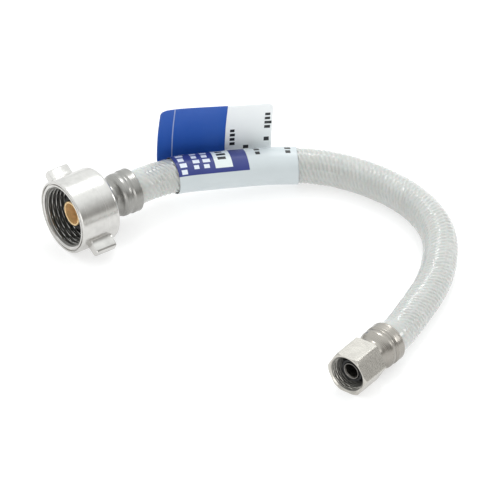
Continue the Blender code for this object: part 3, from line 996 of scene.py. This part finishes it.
def bar_rows(tree, along, down, rows):
    """Rows of short plain bars, each up to three tenths shorter than its row is wide."""
    total = 0.0
    for low, high, low_down, high_down, pitch in rows:
        number = math_node(tree, "FLOOR", math_node(tree, "DIVIDE", down, pitch))
        chance = node(tree, "ShaderNodeTexWhiteNoise", {"W": number}, noise_dimensions="1D")
        shorter = math_node(tree, "MULTIPLY", chance.outputs["Value"], 0.3 * (high - low))
        past_end = smooth_step(tree, math_node(tree, "ADD", along, shorter), high - 0.1, high + 0.1)
        row = box_mask(tree, along, down, (low, high, low_down, high_down))
        row = math_node(tree, "MULTIPLY", row, math_node(tree, "SUBTRACT", 1.0, past_end))
        wave = math_node(tree, "PINGPONG", down, pitch / 2)
        bars = math_node(tree, "MULTIPLY", row, smooth_step(tree, wave, 0.15 * pitch, 0.15 * pitch + 0.1))
        total = math_node(tree, "MAXIMUM", total, bars)
    return total


def printed_sheet():
    """White vinyl with a blue field, a thin rule and plain bars in place of any wording.

    It is whiter where the two ends are stuck together than where the grey hose shows through one layer,
    and the split is also painted light and shade: the flag's white is lifted against its own shade, and
    the wrap's white is lowered as painted shade.
    """
    gloss = {"coat_weight": 0.1, "coat_roughness": 0.2}
    made, tree, shader = new_material("printed_sheet", roughness=0.4, **gloss)
    places = node(tree, "ShaderNodeUVMap", uv_map="sheet").outputs[0]
    along, down, _ = node(tree, "ShaderNodeSeparateXYZ", {"Vector": places}).outputs
    blue = 0.0
    for box in BLUE_FIELDS:
        blue = math_node(tree, "MAXIMUM", blue, box_mask(tree, along, down, box))
    rule = math_node(tree, "MULTIPLY", box_mask(tree, along, down, RULE), 0.45)
    position = object_point(tree)
    clouds = noise(tree, position, 140.0)
    far_side = SHEET_HEIGHT - FLAG_HEIGHT
    # The single-layer wrap gets the lower white, which holds painted shade; the flag gets the lifted
    # white, which holds painted light.
    single = smooth_step(tree, down, FLAG_HEIGHT - 1.0, FLAG_HEIGHT + 1.5)
    single = math_node(tree, "SUBTRACT", single, smooth_step(tree, down, far_side - 1.5, far_side + 1.0))
    white = mix_colour(tree, single, FLAG_WHITE_WITH_PAINTED_LIGHT, mix_colour(tree, clouds, *WRAP_WHITE_WITH_PAINTED_SHADE))
    flag_ink = mix_colour(tree, clouds, *FLAG_BLUE)
    ink = mix_colour(tree, single, flag_ink, mix_colour(tree, clouds, *WRAP_BLUE))
    colours = mix_colour(tree, blue, white, ink)
    colours = mix_colour(tree, rule, colours, RULE_COLOUR)
    colours = mix_colour(tree, bar_rows(tree, along, down, PALE_BARS), colours, PALE_BAR_COLOUR)
    colours = mix_colour(tree, box_mask(tree, along, down, PANEL), colours, PANEL_COLOUR)
    colours = mix_colour(tree, bar_rows(tree, along, down, DARK_BARS), colours, DARK_BAR_COLOUR)
    tree.links.new(colours, shader.inputs["Base Color"])
    creases = noise(tree, position, 260.0, 3.0, 0.5)
    tree.links.new(bump(tree, creases, 0.2, 0.25), shader.inputs["Normal"])
    return made


# ---------------------------------------------------------------- stage


def area_light(name, place, size, power):
    """A soft round lamp, aimed at LAMP_AIM."""
    data = bpy.data.lights.new(name, "AREA")
    data.shape = "DISK"
    data.size = size
    data.energy = power
    lamp = bpy.data.objects.new(name, data)
    lamp.location = place
    lamp.rotation_euler = (Vector(LAMP_AIM) - Vector(place)).to_track_quat("-Z", "Y").to_euler()
    bpy.context.scene.collection.objects.link(lamp)


def floor():
    """A white table that glows a little, so that shadows on it stay pale."""
    mesh = bpy.data.meshes.new("floor")
    mesh.from_pydata([(-3, -3, 0), (3, -3, 0), (3, 3, 0), (-3, 3, 0)], [], [(0, 1, 2, 3)])
    ground = bpy.data.objects.new("floor", mesh)
    bpy.context.scene.collection.objects.link(ground)
    made, _, shader = new_material("pale_floor", roughness=0.9)
    shader.inputs["Base Color"].default_value = (FLOOR_GREY, FLOOR_GREY, FLOOR_GREY, 1.0)
    shader.inputs["Emission Color"].default_value = (1.0, 1.0, 1.0, 1.0)
    shader.inputs["Emission Strength"].default_value = FLOOR_GLOW
    mesh.materials.append(made)


def world():
    """A soft white room: bright overhead and at the back, grey low down, with the pale panel in front."""
    made = bpy.data.worlds.new("room")
    bpy.context.scene.world = made
    made.use_nodes = True
    tree = made.node_tree
    direction = node(tree, "ShaderNodeTexCoord").outputs["Generated"]
    lean = node(tree, "ShaderNodeVectorMath", {0: direction}, operation="DOT_PRODUCT")
    lean.inputs[1].default_value = ROOM_LEAN
    brightness = smooth_step(tree, lean.outputs["Value"], *ROOM_RISE)
    colours = mix_colour(tree, brightness, ROOM_GREY, ROOM_WHITE)
    _, across, height = node(tree, "ShaderNodeSeparateXYZ", {"Vector": direction}).outputs
    low = math_node(tree, "SUBTRACT", 1.0, smooth_step(tree, height, *FRONT_PANEL_TOP))
    ahead = math_node(tree, "SUBTRACT", 1.0, smooth_step(tree, across, *FRONT_PANEL_SIDE))
    colours = mix_colour(tree, math_node(tree, "MULTIPLY", low, ahead), colours, FRONT_PANEL)
    background = tree.nodes["Background"]
    tree.links.new(colours, background.inputs["Color"])


def camera():
    """The camera, far enough away for its lens to take in VIEW_WIDTH at the object."""
    azimuth, elevation = math.radians(VIEW_AZIMUTH), math.radians(VIEW_ELEVATION)
    level = math.cos(elevation)
    back = Vector((math.sin(azimuth) * level, -math.cos(azimuth) * level, math.sin(elevation)))
    data = bpy.data.cameras.new("camera")
    data.lens = VIEW_LENS
    data.sensor_width = SENSOR
    shot = bpy.data.objects.new("camera", data)
    shot.location = (Vector(VIEW_TARGET) + back * VIEW_WIDTH * VIEW_LENS / SENSOR) * MM
    shot.rotation_euler = back.to_track_quat("Z", "Y").to_euler()
    bpy.context.scene.collection.objects.link(shot)
    bpy.context.scene.camera = shot


def stage():
    bpy.context.scene.view_settings.view_transform = "Standard"
    camera()
    floor()
    world()
    for lamp in LAMPS:
        area_light(*lamp)


# ---------------------------------------------------------------- all of it


stage()
route = Route()
hose = jacket(route, vinyl_jacket())
yarns = braid(route, braid_yarn())
tube = inner_tube(route, tube_vinyl())
flag = label(route, printed_sheet())
nut_thread = (NUT_MINOR, NUT_MINOR + NUT_THREAD_DEPTH, NUT_THREAD_END)
hex_thread = (HEX_MINOR, HEX_MINOR + HEX_THREAD_DEPTH, HEX_PAINTED_SHADE_FROM)
brass = turned_metal("tail_brass", BALLCOCK, BRASS, 0.45, dents=0.3, metallic=0.5, tarnish=TARNISH)
ballcock_nut(turned_metal("ballcock_nickel", BALLCOCK, NICKEL, 0.22, nut_thread))
compression_nut(turned_metal("compression_nickel", STOP, CAST_NICKEL, 0.26, hex_thread, 0.2))
ballcock_inside(brass, rubber(), nylon())
compression_inside(turned_metal("stem_nickel", STOP, STEM_NICKEL, 0.35), rubber(), nylon())
ballcock_collar(turned_metal("ballcock_steel", BALLCOCK, STEEL, 0.3, dents=0.2))
compression_collar(turned_metal("compression_steel", STOP, WARM_STEEL, 0.28, dents=0.2))
